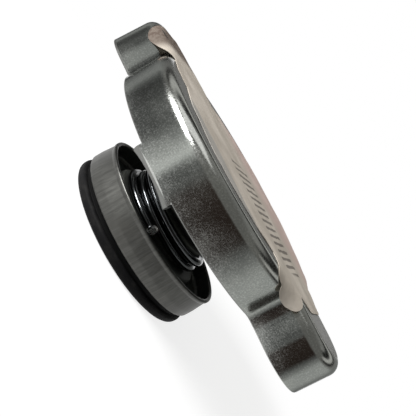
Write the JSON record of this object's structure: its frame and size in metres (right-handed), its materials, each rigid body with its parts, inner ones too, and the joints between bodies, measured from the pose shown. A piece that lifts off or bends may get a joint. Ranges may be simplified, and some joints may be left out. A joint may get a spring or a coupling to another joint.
{
  "type": "radiator cap",
  "caption": "Pressure cap for a filler neck: eared steel shell with bent locking lugs, a sprung pressure valve with a rubber seal, and a small vacuum valve inside it.",
  "frame": {"origin": "on the cap's axis, in the plane of the pressure seal's underside", "axes": "+Z along the cap's axis towards its top face, X along the two ears"},
  "size_m": [0.0914, 0.0634, 0.0303],
  "materials": {
    "zinc_steel": "zinc plated, slightly mottled",
    "label_paper": "matt, wrinkled",
    "rivet_steel": "plain",
    "brass": "plain",
    "spring_sheet": "bright",
    "black_rubber": "matt",
    "bell_steel": "zinc plated",
    "dark_wire": "black, glossy",
    "cup_steel": "dull galvanised, streaked"
  },
  "bodies": {
    "shell": {"cap_shell": "zinc_steel", "paper_label": "label_paper", "centre_rivet": "rivet_steel", "thrust_washer": "brass"},
    "valve_carrier": {"diaphragm": "spring_sheet", "neck_gasket": "black_rubber", "guide_bell": "bell_steel", "spring_seat": "bell_steel", "main_spring": "dark_wire"},
    "pressure_valve": {"valve_cup": "cup_steel", "pressure_seal": "black_rubber", "seal_retainer": "bell_steel", "vacuum_spring": "spring_sheet"},
    "vacuum_valve": {"vacuum_disc": "brass", "vacuum_stem": "brass", "spring_keeper": "brass"}
  },
  "joints": [
    {"name": "valve_swivel", "type": "hinge", "parent": "shell", "child": "valve_carrier", "pos_m": [0, 0, 0.0265], "axis": [0, 0, 1], "continuous": true},
    {"name": "pressure_valve_lift", "type": "slide", "parent": "valve_carrier", "child": "pressure_valve", "axis": [0, 0, 1], "range_m": [0, 0.0035], "stiffness_N_per_m": 6000, "deforming": ["main_spring"]},
    {"name": "vacuum_valve_drop", "type": "slide", "parent": "pressure_valve", "child": "vacuum_valve", "axis": [0, 0, -1], "range_m": [0, 0.002], "stiffness_N_per_m": 150, "deforming": ["vacuum_spring"]}
  ]
}
